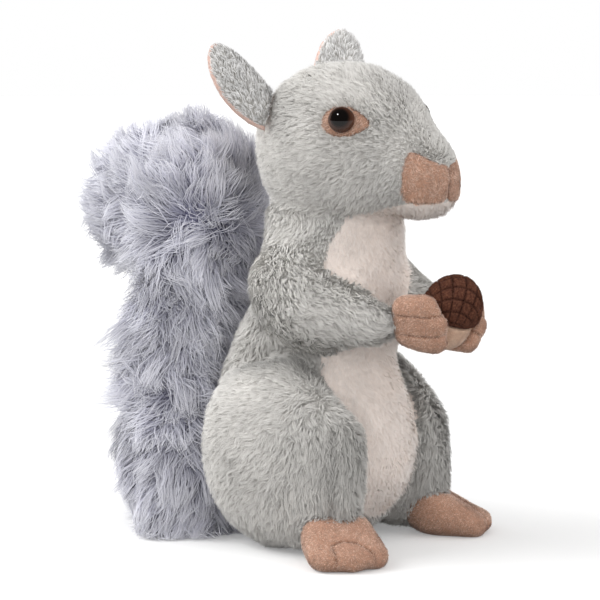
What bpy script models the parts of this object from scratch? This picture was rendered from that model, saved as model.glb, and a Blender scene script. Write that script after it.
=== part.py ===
"""Plush squirrel that sits up and holds a toy acorn.

Metres, +Z up, facing -Y. The origin is the middle of the flat seat under the torso.
Sizes below are in millimetres and are turned to metres where a shape is made.
The squirrel's own right side is at -X and its left side is at +X.
"""

import math

import bmesh
import bpy
from mathutils import Matrix, Vector
from mathutils.bvhtree import BVHTree

MM = 0.001

# Gap kept between neighbours, and how deep the inlaid panels are
SEAM_GAP = 0.4
PANEL_THICKNESS = 5.0
PATCH_THICKNESS = 2.5

# Torso: a pear made of stuffed rounds, full at the hips
SEAT_ROUND_RADII = (60.0, 56.0, 66.0)
SEAT_SINK = 6.0
CHEST_RADII = (47.0, 44.0, 56.0)
CHEST_FORWARD = 7.0
CHEST_RISE = 90.0
NECK_RADII = (46.0, 44.0, 38.0)
NECK_RISE = 36.0
BACK_RADII = (50.0, 46.0, 50.0)
BACK_BEHIND = 12.0
BACK_RISE = 45.0
HIP_RADII = (27.0, 38.0, 34.0)
HIP_SIDE = 28.0
HIP_BEHIND = 18.0
HIP_RISE = 28.0
TORSO_VOXEL = 12.5

# Belly panel, seen from the front: a round foot and a round top
BELLY_FOOT_RADIUS = 33.0
BELLY_FOOT_HEIGHT = 48.0
BELLY_TOP_RADIUS = 38.0
BELLY_TOP_HEIGHT = 166.0

# Head: skull, bridge of the nose, two muzzle lobes and two full cheeks
SKULL_RADII = (50.0, 56.0, 50.0)
SKULL_FORWARD = 7.0
SKULL_RISE = 81.0
BRIDGE_RADII = (30.0, 30.0, 28.5)
BRIDGE_FORWARD = 46.0
BRIDGE_DROP = 15.0
MUZZLE_RADII = (15.5, 17.0, 18.0)
MUZZLE_SIDE = 9.5
MUZZLE_FORWARD = 58.0
MUZZLE_DROP = 26.0
CHEEK_RADII = (28.0, 44.0, 28.0)
CHEEK_SIDE = 18.0
CHEEK_FORWARD = 0.0
CHEEK_DROP = 21.0
HEAD_VOXEL = 9.5

# Suede muzzle patches and the pale chin panel, seen from the side
MUZZLE_PATCH_DEPTH = 20.5
MUZZLE_PATCH_REAR_HEIGHT = 31.0
MUZZLE_PATCH_FRONT_HEIGHT = 21.0
CHIN_LINE_DROP = 31.0
CHIN_LENGTH = 62.0
CHIN_LINE_SLOPE = 12.0
HALF_PHILTRUM = 0.2
PAST_NOSE = 10.0

# Legs: a round haunch with an upright shin in front of it
HAUNCH_RADII = (34.0, 52.0, 60.0)
HAUNCH_SIDE = 43.0
HAUNCH_FORWARD = -3.0
HAUNCH_SINK = 2.5
SHIN_RADIUS = 21.0
KNEE_SIDE = 42.0
KNEE_HEIGHT = 68.0
ANKLE_SIDE = 45.0
ANKLE_HEIGHT = 31.0
SHIN_FORWARD = 38.0
HEEL_RADII = (20.0, 24.0, 19.0)
HEEL_FORWARD = 28.0
HEEL_SINK = 1.5
LEG_VOXEL = 11.0

# Feet: suede pads with three toes, turned outwards
FOOT_LENGTH = 54.0
FOOT_WIDTH = 50.0
FOOT_HEIGHT = 30.0
TOE_HEIGHT = 15.0
SIDE_TOE_SHORTFALL = 5.0
TOE_ROOT_PITCH = 9.0
FOOT_SINK = 1.5
FOOT_SPLAY = 37.0
FOOT_AHEAD_OF_ANKLE = 18.0
TOE_PITCH = 15.0
FOOT_VOXEL = 5.8

# Arms: shoulder, elbow, wrist and the broad cuff where the hand is sewn in
SHOULDER_RADIUS = 27.0
SHOULDER_SIDE = 36.0
SHOULDER_ABOVE_CHEST = 3.0
ELBOW_RADIUS = 24.5
ELBOW_SIDE = 44.0
ELBOW_FORWARD = 20.0
ELBOW_BELOW_SHOULDER = 16.0
WRIST_RADII = (14.0, 17.0, 17.5)
WRIST_OUTSIDE_HAND = 6.0
FOREARM_REACH = 33.0
FOREARM_DROP = 2.0
CUFF_RADII = (12.0, 9.0, 19.0)
CUFF_FORWARD = 6.0
CUFF_DROP = 2.0
ARM_VOXEL = 7.5

# Hands: suede mittens with three fingers, one flat on each side of the acorn
HAND_LENGTH = 38.0
HAND_THICKNESS = 15.0
FINGER_PITCH = 11.3
SIDE_FINGER_SHORTFALL = 2.0
TOP_FINGER_SHORTFALL = 4.0
RIGHT_HAND_CUP = 12.0
LEFT_HAND_CUP = 33.0
LEFT_HAND_WRAP = 6.0
LEFT_HAND_DROP = 5.0
HAND_IN_CUFF = 8.0
HAND_SQUEEZE = 1.6
HAND_VOXEL = 4.4

# Acorn: a puffy cap on a smooth nut, tipped forward
CAP_RADIUS = 17.5
CAP_HEIGHT = 25.0
NUT_RADIUS = 15.0
NUT_LENGTH = 20.0
ACORN_TILT = 28.0
ACORN_BEHIND_FINGERTIPS = 15.0
ACORN_ABOVE_HAND = 2.0
ACORN_STEPS = 18

# Ears: cupped leaves with a suede lining at the back
EAR_LENGTH = 66.0
EAR_WIDTH = 38.0
EAR_THICKNESS = 12.0
EAR_CUP = 5.0
EAR_ROOT_SHARE = 0.24
EAR_LINING_WRAP = 0.12
EAR_ROOT_DIRECTION = (0.66, -0.5, 0.36)
RIGHT_EAR_LEAN = (0.45, -0.49, 0.75)
RIGHT_EAR_BACK = (-0.1, -0.9, -0.45)
LEFT_EAR_LEAN = (0.35, -0.23, 0.90)
LEFT_EAR_BACK = (0.5, -0.85, 0.0)

# Eyes: plastic domes on shanks that washers hold inside the head
EYE_RADIUS = 7.5
EYE_DOME_HEIGHT = 5.5
EYE_SINK = 2.0
SHANK_RADIUS = 2.2
SHANK_LENGTH = 14.0
WASHER_RADIUS = 8.0
WASHER_THICKNESS = 2.0
WASHER_DEPTH = 8.0
EYE_DIRECTION = (0.77, 0.485, 0.32)
EYE_PATCH_LENGTH = 31.0
EYE_PATCH_HEIGHT = 21.0
EYE_STEPS = 16

# Tail: a tall shaggy brush that curls back at the top
TAIL_WIDTH = 114.0
TAIL_DEPTH = 88.0
TAIL_HEIGHT = 243.0
TAIL_CURL_BACK = 42.0
TAIL_INTO_TORSO = 8.0
TAIL_SHAG = 7.0
TAIL_SHAG_SIZE = 26.0
TAIL_VOXEL = 12.0

# Where each piece sits, worked out from the sizes above
SEAT_CENTRE = Vector((0.0, 0.0, SEAT_ROUND_RADII[2] - SEAT_SINK))
CHEST_CENTRE = SEAT_CENTRE + Vector((0.0, -CHEST_FORWARD, CHEST_RISE))
SKULL_CENTRE = CHEST_CENTRE + Vector((0.0, -SKULL_FORWARD, SKULL_RISE))
BRIDGE_CENTRE = SKULL_CENTRE + Vector((0.0, -BRIDGE_FORWARD, -BRIDGE_DROP))
MUZZLE_CENTRE = SKULL_CENTRE + Vector((0.0, -MUZZLE_FORWARD, -MUZZLE_DROP))
MUZZLE_FRONT = MUZZLE_CENTRE.y - MUZZLE_RADII[1]
CHIN_LINE = SKULL_CENTRE.z - CHIN_LINE_DROP
HAND_SIDE = CAP_RADIUS + HAND_THICKNESS / 2 - HAND_SQUEEZE
WRIST_SIDE = HAND_SIDE + WRIST_OUTSIDE_HAND
SHADING_ANGLE = math.radians(50.0)

SHORT_PLUSH = ("grey_short_plush", "b5b2ae", 0.95)
LONG_PLUSH = ("lilac_long_plush", "a3a3b0", 0.95)
PALE_PLUSH = ("cream_plush", "d2cac4", 0.95)
SUEDE = ("peach_suede", "b18d7a", 0.9)
CAP_FABRIC = ("brown_quilted_fabric", "4a3029", 0.85)
NUT_FABRIC = ("tan_nut_suede", "c8a58f", 0.9)
EYE_PLASTIC = ("dark_eye_plastic", "1c110d", 0.08)
WASHER_PLASTIC = ("white_washer_plastic", "e6e4de", 0.4)


def sided(side, across, forward, up):
    """A point given by its distance from the middle plane, on side -1 (right) or 1 (left)."""
    return Vector((side * across, -forward, up))


def material_of(finish):
    """The Blender material of a finish: its name, sRGB colour in hex and roughness."""
    name, colour, roughness = finish
    found = bpy.data.materials.get(name)
    if found:
        return found
    made = bpy.data.materials.new(name)
    made.use_nodes = True
    shader = made.node_tree.nodes["Principled BSDF"]
    parts = [int(colour[i : i + 2], 16) / 255 for i in (0, 2, 4)]
    linear = [c / 12.92 if c <= 0.04045 else ((c + 0.055) / 1.055) ** 2.4 for c in parts]
    shader.inputs["Base Color"].default_value = (*linear, 1.0)
    shader.inputs["Roughness"].default_value = roughness
    shader.inputs["Metallic"].default_value = 0.0
    return made


def helper(name, mesh_builder):
    """A hidden object whose mesh the given bmesh holds."""
    mesh = bpy.data.meshes.new(name)
    mesh_builder.to_mesh(mesh)
    mesh_builder.free()
    obj = bpy.data.objects.new(name, mesh)
    bpy.context.scene.collection.objects.link(obj)
    obj.hide_render = True
    obj.display_type = "WIRE"
    return obj


def main_body(obj):
    """The object without the crumbs that a cut may leave beside its largest body."""
    bm = bmesh.new()
    bm.from_mesh(obj.data)
    unseen, bodies = set(bm.faces), []
    while unseen:
        queue = [unseen.pop()]
        body = set(queue)
        while queue:
            near = {face for edge in queue.pop().edges for face in edge.link_faces} & unseen
            unseen -= near
            body |= near
            queue.extend(near)
        bodies.append(body)
    bodies.sort(key=len)
    crumbs = [face for body in bodies[:-1] for face in body]
    bmesh.ops.delete(bm, geom=crumbs, context="FACES")
    bm.to_mesh(obj.data)
    bm.free()
    return obj


def settled(obj):
    """The object, with its mesh replaced by what its modifiers make of it."""
    bpy.context.view_layer.update()
    graph = bpy.context.evaluated_depsgraph_get()
    shaped = bpy.data.meshes.new_from_object(obj.evaluated_get(graph))
    obj.modifiers.clear()
    obj.data = shaped
    return obj


def copy_of(obj, name):
    """A hidden copy with a mesh of its own."""
    copy = bpy.data.objects.new(name, obj.data.copy())
    bpy.context.scene.collection.objects.link(copy)
    copy.hide_render = True
    copy.display_type = "WIRE"
    return copy


def swollen(obj, by):
    """A hidden copy whose skin lies that many millimetres further out, or in if negative."""
    copy = copy_of(obj, f"{obj.name}_swollen_{by:g}")
    push = copy.modifiers.new("push", "DISPLACE")
    push.direction = "NORMAL"
    push.mid_level = 0.0
    push.strength = by * MM
    return settled(copy)


def combined(obj, others, operation):
    """The object after one Boolean with each of the others."""
    for other in others:
        boolean = obj.modifiers.new("with_" + other.name, "BOOLEAN")
        boolean.operation = operation
        boolean.solver = "EXACT"
        boolean.object = other
    return settled(obj)


def cut(obj, *cutters):
    return combined(obj, cutters, "DIFFERENCE")


def kept_inside(obj, *others):
    return combined(obj, others, "INTERSECT")


def finished(obj, name, finish):
    """Turns a hidden shape into a named piece of the toy."""
    main_body(obj)
    obj.name = name
    obj.data.name = name
    obj.hide_render = False
    obj.display_type = "TEXTURED"
    obj.data.shade_smooth()
    obj.data.set_sharp_from_angle(angle=SHADING_ANGLE)
    obj.data.materials.clear()
    obj.data.materials.append(material_of(finish))
    return obj


def stuffed(name, rounds, voxel, softening=4):
    """One smooth closed skin round overlapping ellipsoids, each (centre, radii)."""
    bm = bmesh.new()
    for centre, radii in rounds:
        place = Matrix.LocRotScale(Vector(centre) * MM, None, Vector(radii) * MM)
        bmesh.ops.create_icosphere(bm, subdivisions=3, radius=1.0, matrix=place)
    obj = helper(name, bm)
    skin = obj.modifiers.new("skin", "REMESH")
    skin.mode = "VOXEL"
    skin.voxel_size = voxel * MM
    soften = obj.modifiers.new("soften", "SMOOTH")
    soften.factor = 0.5
    soften.iterations = softening
    obj.modifiers.new("flat_faces", "TRIANGULATE")
    return settled(obj)


def beads(stations, per_span=4):
    """Ellipsoids spaced evenly between stations, each (centre, radii)."""
    row = []
    for (start, start_radii), (end, end_radii) in zip(stations, stations[1:]):
        for step in range(per_span):
            share = step / per_span
            centre = Vector(start).lerp(Vector(end), share)
            radii = Vector(start_radii).lerp(Vector(end_radii), share)
            row.append((centre, radii))
    row.append(stations[-1])
    return row


def prism(name, outline, low, high, place):
    """A closed prism over a flat outline of (u, v) points, from low to high along w."""
    bm = bmesh.new()
    ring = [bm.verts.new((u * MM, v * MM, low * MM)) for u, v in outline]
    floor = bm.faces.new(ring)
    raised = bmesh.ops.extrude_face_region(bm, geom=[floor])["geom"]
    lifted = [v for v in raised if isinstance(v, bmesh.types.BMVert)]
    bmesh.ops.translate(bm, verts=lifted, vec=(0.0, 0.0, (high - low) * MM))
    bmesh.ops.transform(bm, matrix=place, verts=bm.verts)
    bmesh.ops.recalc_face_normals(bm, faces=bm.faces)
    return helper(name, bm)


def turned(name, profile, steps, place):
    """A closed solid turned about Z from (radius, height) points that start and end on the axis."""
    bm = bmesh.new()
    points = [bm.verts.new((r * MM, 0.0, z * MM)) for r, z in profile]
    edges = [bm.edges.new(pair) for pair in zip(points, points[1:])]
    bmesh.ops.spin(
        bm, geom=points + edges, cent=(0, 0, 0), axis=(0, 0, 1), angle=math.tau, steps=steps, use_merge=True
    )
    bmesh.ops.remove_doubles(bm, verts=bm.verts, dist=0.001 * MM)
    bmesh.ops.recalc_face_normals(bm, faces=bm.faces)
    bmesh.ops.transform(bm, matrix=place, verts=bm.verts)
    return helper(name, bm)


def axes_place(origin, u, v, w):
    """The matrix that carries local u, v, w to the given directions at origin, which is in millimetres."""
    turn = Matrix((u, v, w)).transposed().to_4x4()
    return Matrix.Translation(Vector(origin) * MM) @ turn


def facing_place(origin, out, up):
    """A place whose w axis points out and whose v axis points as near to up as it can."""
    w = Vector(out).normalized()
    v = (Vector(up) - w * w.dot(Vector(up))).normalized()
    return axes_place(origin, v.cross(w), v, w)


def on_skin(obj, inside, direction):
    """Where a line from inside the object first meets its skin, in millimetres, and the way out there."""
    tree = BVHTree.FromPolygons(
        [v.co.copy() for v in obj.data.vertices], [tuple(p.vertices) for p in obj.data.polygons]
    )
    hit, normal, _, _ = tree.ray_cast(Vector(inside) * MM, Vector(direction).normalized())
    return hit / MM, normal


def arc(centre, radius, start, end, steps):
    """Points on an arc of a circle, or of an ellipse if radius is a pair. Angles are in degrees."""
    ru, rv = radius if isinstance(radius, tuple) else (radius, radius)
    turns = [math.radians(start + (end - start) * i / steps) for i in range(steps + 1)]
    return [(centre[0] + ru * math.cos(t), centre[1] + rv * math.sin(t)) for t in turns]


def panel_on(raw, shape, core):
    """The part of a raw shape inside the outline shape and above its core."""
    return cut(kept_inside(copy_of(raw, "panel"), shape), core)


def recess_for(base, shape, deep_core):
    """Takes a panel's room out of the base, down to the deeper core."""
    return cut(base, cut(swollen(shape, SEAM_GAP), deep_core))


def cores_of(raw, thickness):
    """The raw shape's inside at a panel's depth, and just below it."""
    return swollen(raw, -thickness), swollen(raw, -thickness - SEAM_GAP)


def clear_scene():
    for obj in list(bpy.data.objects):
        bpy.data.objects.remove(obj)


def ground_block():
    """What lies below the surface that the toy sits on."""
    bm = bmesh.new()
    place = Matrix.LocRotScale(Vector((0.0, 0.0, -0.5)), None, Vector((1.0, 1.0, 1.0)))
    bmesh.ops.create_cube(bm, size=1.0, matrix=place)
    return helper("ground", bm)


def raw_torso():
    neck = CHEST_CENTRE + Vector((0.0, 0.0, NECK_RISE))
    back = SEAT_CENTRE + Vector((0.0, BACK_BEHIND, BACK_RISE))
    rounds = [
        (SEAT_CENTRE, SEAT_ROUND_RADII),
        (back, BACK_RADII),
        (CHEST_CENTRE, CHEST_RADII),
        (neck, NECK_RADII),
    ]
    rounds += [(SEAT_CENTRE + sided(side, HIP_SIDE, -HIP_BEHIND, HIP_RISE), HIP_RADII) for side in (-1, 1)]
    return stuffed("raw_torso", rounds, TORSO_VOXEL)


def raw_head():
    rounds = [(SKULL_CENTRE, SKULL_RADII), (BRIDGE_CENTRE, BRIDGE_RADII)]
    for side in (-1, 1):
        lobe = MUZZLE_CENTRE + Vector((side * MUZZLE_SIDE, 0.0, 0.0))
        cheek = SKULL_CENTRE + sided(side, CHEEK_SIDE, CHEEK_FORWARD, -CHEEK_DROP)
        rounds += [(lobe, MUZZLE_RADII), (cheek, CHEEK_RADII)]
    return stuffed("raw_head", rounds, HEAD_VOXEL)


def raw_leg(side, label):
    haunch = sided(side, HAUNCH_SIDE, HAUNCH_FORWARD, HAUNCH_RADII[2] - HAUNCH_SINK)
    knee = sided(side, KNEE_SIDE, SHIN_FORWARD, KNEE_HEIGHT)
    ankle = ankle_of(side)
    shin = (SHIN_RADIUS,) * 3
    heel = sided(side, ANKLE_SIDE, HEEL_FORWARD, HEEL_RADII[2] - HEEL_SINK)
    rounds = [(haunch, HAUNCH_RADII), (heel, HEEL_RADII), *beads([(knee, shin), (ankle, shin)])]
    return stuffed(f"raw_leg_{label}", rounds, LEG_VOXEL)


def ankle_of(side):
    return sided(side, ANKLE_SIDE, SHIN_FORWARD, ANKLE_HEIGHT)


def raw_foot(side, label):
    """A pad with three toes side by side, the middle one longest."""
    splay = math.radians(FOOT_SPLAY)
    forward = sided(side, math.sin(splay), math.cos(splay), 0.0)
    across = Vector((forward.y, -forward.x, 0.0))
    ankle = ankle_of(side)
    middle = Vector((ankle.x, ankle.y, FOOT_HEIGHT / 2 - FOOT_SINK)) + forward * FOOT_AHEAD_OF_ANKLE
    toe_radius = FOOT_WIDTH / 2 - TOE_PITCH
    rounds = []
    for toe in (-1, 0, 1):
        reach = FOOT_LENGTH / 2 - toe_radius - SIDE_TOE_SHORTFALL * abs(toe)
        root = middle + across * toe * TOE_ROOT_PITCH - forward * reach
        tip = middle + across * toe * TOE_PITCH + forward * reach
        root_radii = (toe_radius * 1.25, toe_radius * 1.25, FOOT_HEIGHT / 2)
        tip_radii = (toe_radius, toe_radius, TOE_HEIGHT / 2)
        tip.z = tip_radii[2] - FOOT_SINK
        rounds += beads([(root, root_radii), (tip, tip_radii)], per_span=5)
    return stuffed(f"raw_foot_{label}", rounds, FOOT_VOXEL, softening=2)


def hand_middle(side):
    """The middle of a hand, past the wrist and beside the acorn."""
    wrist = wrist_of(side)
    return Vector(
        (side * HAND_SIDE, wrist.y - WRIST_RADII[1] + HAND_IN_CUFF - HAND_LENGTH / 2, wrist.z)
    )


def shoulder_of(side):
    return CHEST_CENTRE + sided(side, SHOULDER_SIDE, -CHEST_FORWARD, SHOULDER_ABOVE_CHEST)


def elbow_of(side):
    shoulder = shoulder_of(side)
    return Vector((side * ELBOW_SIDE, shoulder.y - ELBOW_FORWARD, shoulder.z - ELBOW_BELOW_SHOULDER))


def wrist_of(side):
    elbow = elbow_of(side)
    return Vector((side * WRIST_SIDE, elbow.y - FOREARM_REACH, elbow.z - FOREARM_DROP))


def raw_arm(side, label):
    stations = [
        (shoulder_of(side), (SHOULDER_RADIUS,) * 3),
        (elbow_of(side), (ELBOW_RADIUS,) * 3),
        (wrist_of(side), WRIST_RADII),
    ]
    cuff = wrist_of(side) - Vector((0.0, CUFF_FORWARD, CUFF_DROP))
    return stuffed(f"raw_arm_{label}", [*beads(stations), (cuff, CUFF_RADII)], ARM_VOXEL)


def raw_hand(side, label):
    """Three fingers above one another, the middle one longest and the lowest one nearest the acorn."""
    middle = hand_middle(side)
    cup = math.radians(RIGHT_HAND_CUP)
    if side > 0:
        cup = math.radians(LEFT_HAND_CUP)
        middle -= Vector((LEFT_HAND_WRAP, 0.0, LEFT_HAND_DROP))
    across = sided(side, math.sin(cup), 0.0, math.cos(cup))
    finger_radii = (HAND_THICKNESS / 2, FINGER_PITCH * 0.62, FINGER_PITCH * 0.6)
    rounds = []
    for finger in (-1, 0, 1):
        reach = HAND_LENGTH / 2 - finger_radii[1] - SIDE_FINGER_SHORTFALL * abs(finger)
        level = middle + across * finger * FINGER_PITCH
        root = level + Vector((0.0, reach, -finger * SIDE_FINGER_SHORTFALL))
        tip = level - Vector((0.0, reach - max(finger, 0) * TOP_FINGER_SHORTFALL, 0.0))
        rounds += beads([(root, finger_radii), (tip, finger_radii)], per_span=5)
    return stuffed(f"raw_hand_{label}", rounds, HAND_VOXEL, softening=2)


def acorn_place():
    """Where the flat joint between cap and nut lies, with the cap on its +w side."""
    hand = hand_middle(1)
    fingertips = hand.y - HAND_LENGTH / 2
    joint = Vector((0.0, fingertips + ACORN_BEHIND_FINGERTIPS, hand.z + ACORN_ABOVE_HAND))
    return Matrix.Translation(joint * MM) @ Matrix.Rotation(math.radians(ACORN_TILT), 4, "X")


def raw_cap(place):
    rim = CAP_RADIUS * 0.25
    underside = SEAM_GAP / 2
    profile = [(0.0, underside)]
    profile += arc((CAP_RADIUS - rim, underside + rim), rim, -90, 0, 3)
    profile += arc((0.0, underside + rim), (CAP_RADIUS, CAP_HEIGHT - rim), 0, 90, 8)[1:]
    profile[-1] = (0.0, profile[-1][1])
    return turned("raw_cap", profile, ACORN_STEPS, place)


def raw_nut(place):
    top = -SEAM_GAP / 2
    profile = [(0.0, -NUT_LENGTH)]
    profile += arc((0.0, -NUT_LENGTH * 0.25), (NUT_RADIUS, NUT_LENGTH * 0.75), -90, 0, 7)[1:]
    profile += [(NUT_RADIUS, top), (0.0, top)]
    return turned("raw_nut", profile, ACORN_STEPS, place)


def raw_ear(label, root, along, back):
    """A leaf from root along its own direction, cupped so that its back side is hollow."""
    v = Vector(along).normalized()
    w = (Vector(back) - v * v.dot(Vector(back))).normalized()
    u = v.cross(w)
    bm = bmesh.new()
    bmesh.ops.create_uvsphere(bm, u_segments=20, v_segments=14, radius=1.0)
    for vert in bm.verts:
        across, thick, length = vert.co
        cup = EAR_CUP * across * across
        vert.co = Vector(
            (
                across * EAR_WIDTH / 2,
                (length + 1) * EAR_LENGTH / 2 - EAR_LENGTH * EAR_ROOT_SHARE,
                thick * EAR_THICKNESS / 2 + cup,
            )
        ) * MM
    bmesh.ops.transform(bm, matrix=axes_place(root, u, v, w), verts=bm.verts)
    bmesh.ops.recalc_face_normals(bm, faces=bm.faces)
    return helper(f"raw_ear_{label}", bm)


def ear_back_half(label, root, along, back):
    """Everything on the hollow side of the cupped sheet where the two halves of an ear meet."""
    v = Vector(along).normalized()
    w = (Vector(back) - v * v.dot(Vector(back))).normalized()
    bm = bmesh.new()
    bmesh.ops.create_grid(bm, x_segments=12, y_segments=1, size=1.0)
    for vert in bm.verts:
        across = vert.co.x * 1.5
        sheet = EAR_CUP * across * across - EAR_THICKNESS * EAR_LINING_WRAP
        vert.co = Vector((across * EAR_WIDTH / 2, vert.co.y * EAR_LENGTH * 1.5, sheet)) * MM
    raised = bmesh.ops.extrude_face_region(bm, geom=bm.faces[:])["geom"]
    lifted = [vert for vert in raised if isinstance(vert, bmesh.types.BMVert)]
    for vert in lifted:
        vert.co.z = EAR_LENGTH * MM
    bmesh.ops.transform(bm, matrix=axes_place(root, v.cross(w), v, w), verts=bm.verts)
    bmesh.ops.recalc_face_normals(bm, faces=bm.faces)
    return helper(f"ear_back_half_{label}", bm)


def raw_eye(label, place):
    """A dome on a shank, turned in one piece."""
    back = -EYE_SINK
    profile = [(0.0, back - SHANK_LENGTH), (SHANK_RADIUS, back - SHANK_LENGTH), (SHANK_RADIUS, back)]
    profile += arc((0.0, back + 1.0), (EYE_RADIUS, EYE_DOME_HEIGHT + EYE_SINK - 1.0), 0, 90, 7)
    profile.insert(3, (EYE_RADIUS - 0.6, back))
    profile[-1] = (0.0, profile[-1][1])
    return turned(f"raw_eye_{label}", profile, EYE_STEPS, place)


def raw_washer(label, place):
    """A ring round the shank, behind the plush."""
    top = -WASHER_DEPTH
    bottom = top - WASHER_THICKNESS
    inner = SHANK_RADIUS + SEAM_GAP
    profile = [(inner, bottom), (WASHER_RADIUS, bottom), (WASHER_RADIUS, top), (inner, top)]
    profile.append(profile[0])
    return turned(f"raw_washer_{label}", profile, EYE_STEPS, place)


def eye_room(label, place):
    """The room for an eye, its shank and its washer in the head, open to the outside."""
    back = -EYE_SINK - SEAM_GAP
    shank_end = back - SHANK_LENGTH
    shank = SHANK_RADIUS + SEAM_GAP
    washer = WASHER_RADIUS + SEAM_GAP
    top = -WASHER_DEPTH + SEAM_GAP
    bottom = -WASHER_DEPTH - WASHER_THICKNESS - SEAM_GAP
    dome = EYE_RADIUS + SEAM_GAP
    outside = EYE_DOME_HEIGHT * 2
    profile = [(0.0, shank_end), (shank, shank_end), (shank, bottom), (washer, bottom), (washer, top)]
    profile += [(shank, top), (shank, back), (dome, back), (dome, outside), (0.0, outside)]
    return turned(f"eye_room_{label}", profile, EYE_STEPS, place)


def raw_tail():
    """Rounds along an upright path that curls back at the top, then broken up by shag."""
    wide, deep = TAIL_WIDTH / 2, TAIL_DEPTH / 2
    front = SEAT_ROUND_RADII[1] - TAIL_INTO_TORSO
    top = TAIL_HEIGHT - deep
    curl = front + deep * 1.05 + TAIL_CURL_BACK
    stations = [
        ((0.0, front + deep * 0.7, deep * 0.45), (wide * 1.28, deep * 0.95, deep)),
        ((0.0, front + deep, TAIL_HEIGHT * 0.23), (wide * 1.12, deep, deep)),
        ((0.0, front + deep * 1.05, TAIL_HEIGHT * 0.4), (wide * 1.02, deep * 0.98, deep)),
        ((0.0, front + deep * 0.9, TAIL_HEIGHT * 0.57), (wide * 0.94, deep * 0.88, deep)),
        ((0.0, front + deep * 0.82, TAIL_HEIGHT * 0.7), (wide * 0.84, deep * 0.85, deep * 0.85)),
        ((0.0, front + deep * 1.05, top), (wide * 0.84, deep, deep)),
        ((0.0, curl - TAIL_CURL_BACK * 0.5, top), (wide * 0.8, deep, deep * 0.95)),
        ((0.0, curl, top - deep * 0.35), (wide * 0.7, deep * 0.75, deep * 0.8)),
    ]
    tail = stuffed("raw_tail", beads(stations, per_span=3), TAIL_VOXEL)
    noise = bpy.data.textures.new("shag", "CLOUDS")
    noise.noise_scale = TAIL_SHAG_SIZE * MM
    shag = tail.modifiers.new("shag", "DISPLACE")
    shag.texture = noise
    shag.texture_coords = "LOCAL"
    shag.strength = 2 * TAIL_SHAG * MM
    shag.mid_level = 0.5
    return settled(tail)


def side_prism(name, outline, low, high):
    """A prism over an outline of (forward, height) points, from low to high along X."""
    place = axes_place((0, 0, 0), Vector((0, -1, 0)), Vector((0, 0, 1)), Vector((-1, 0, 0)))
    return prism(name, outline, -high, -low, place)


def belly_shape():
    """Seen from the front: two arcs joined by straight sides, through the front half of the torso."""
    outline = arc((0.0, BELLY_FOOT_HEIGHT), BELLY_FOOT_RADIUS, 180, 360, 12)
    outline += arc((0.0, BELLY_TOP_HEIGHT), BELLY_TOP_RADIUS, 0, 180, 12)
    place = axes_place((0, 0, 0), Vector((1, 0, 0)), Vector((0, 0, 1)), Vector((0, -1, 0)))
    return prism("belly_shape", outline, PANEL_THICKNESS * 3, SEAT_ROUND_RADII[1] * 3, place)


def muzzle_shape(name, low, high):
    """Seen from the side: a blunt wedge that runs round the front of the muzzle."""
    nose = -MUZZLE_FRONT
    rear = nose - MUZZLE_PATCH_DEPTH
    floor = CHIN_LINE + SEAM_GAP / 2
    outline = [
        (rear, floor),
        (nose + PAST_NOSE, floor),
        (nose + PAST_NOSE, floor + MUZZLE_PATCH_FRONT_HEIGHT),
        (nose - 1.0, floor + MUZZLE_PATCH_FRONT_HEIGHT),
        (rear + 5.0, floor + MUZZLE_PATCH_REAR_HEIGHT),
        (rear + 3.0, floor + MUZZLE_PATCH_REAR_HEIGHT),
    ]
    return side_prism(name, outline, low, high)


def chin_shape():
    """Seen from the side: everything below a line that drops towards the neck."""
    nose = -MUZZLE_FRONT
    rear = nose - CHIN_LENGTH
    line = CHIN_LINE - SEAM_GAP / 2
    low = line - CHIN_LINE_SLOPE
    outline = [
        (rear, low - SKULL_RADII[2]),
        (nose + PAST_NOSE, low - SKULL_RADII[2]),
        (nose + PAST_NOSE, line),
        (nose - MUZZLE_PATCH_DEPTH, line),
        (rear, low),
    ]
    wide = SKULL_RADII[0] * 1.2
    return side_prism("chin_shape", outline, -wide, wide)


def eye_patch_shape(side, label, eye):
    """An almond round the eye, blunt behind and pointed towards the nose."""
    length, height = EYE_PATCH_LENGTH, EYE_PATCH_HEIGHT
    outline = arc((0.0, 0.0), (length * 0.43, height / 2), 75, 285, 10)
    outline += [(length * 0.38, -height * 0.3), (length * 0.57, -height * 0.05)]
    outline.append((length * 0.36, height * 0.26))
    if side > 0:
        outline = [(-u, v) for u, v in reversed(outline)]
    return prism(f"eye_patch_shape_{label}", outline, -height / 2, height / 2, eye)


def build_torso_and_belly(torso_raw, head_room, ground):
    torso = cut(copy_of(torso_raw, "torso_work"), head_room, ground)
    core, deep_core = cores_of(torso_raw, PANEL_THICKNESS)
    finished(panel_on(torso, belly_shape(), core), "belly_panel", PALE_PLUSH)
    finished(recess_for(torso, belly_shape(), deep_core), "torso", SHORT_PLUSH)


def build_eye(side, label, head, head_raw, core, deep_core):
    """An eye with its patch and washer, and their rooms in the head."""
    spot, out = on_skin(head_raw, SKULL_CENTRE, sided(side, *EYE_DIRECTION))
    place = facing_place(spot, out, (0, 0, 1))
    room = eye_room(label, place)
    shape = eye_patch_shape(side, label, place)
    finished(cut(panel_on(head_raw, shape, core), room), f"eye_patch_{label}", SUEDE)
    cut(recess_for(head, shape, deep_core), room)
    finished(raw_eye(label, place), f"eye_{label}", EYE_PLASTIC)
    finished(raw_washer(label, place), f"eye_washer_{label}", WASHER_PLASTIC)


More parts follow.
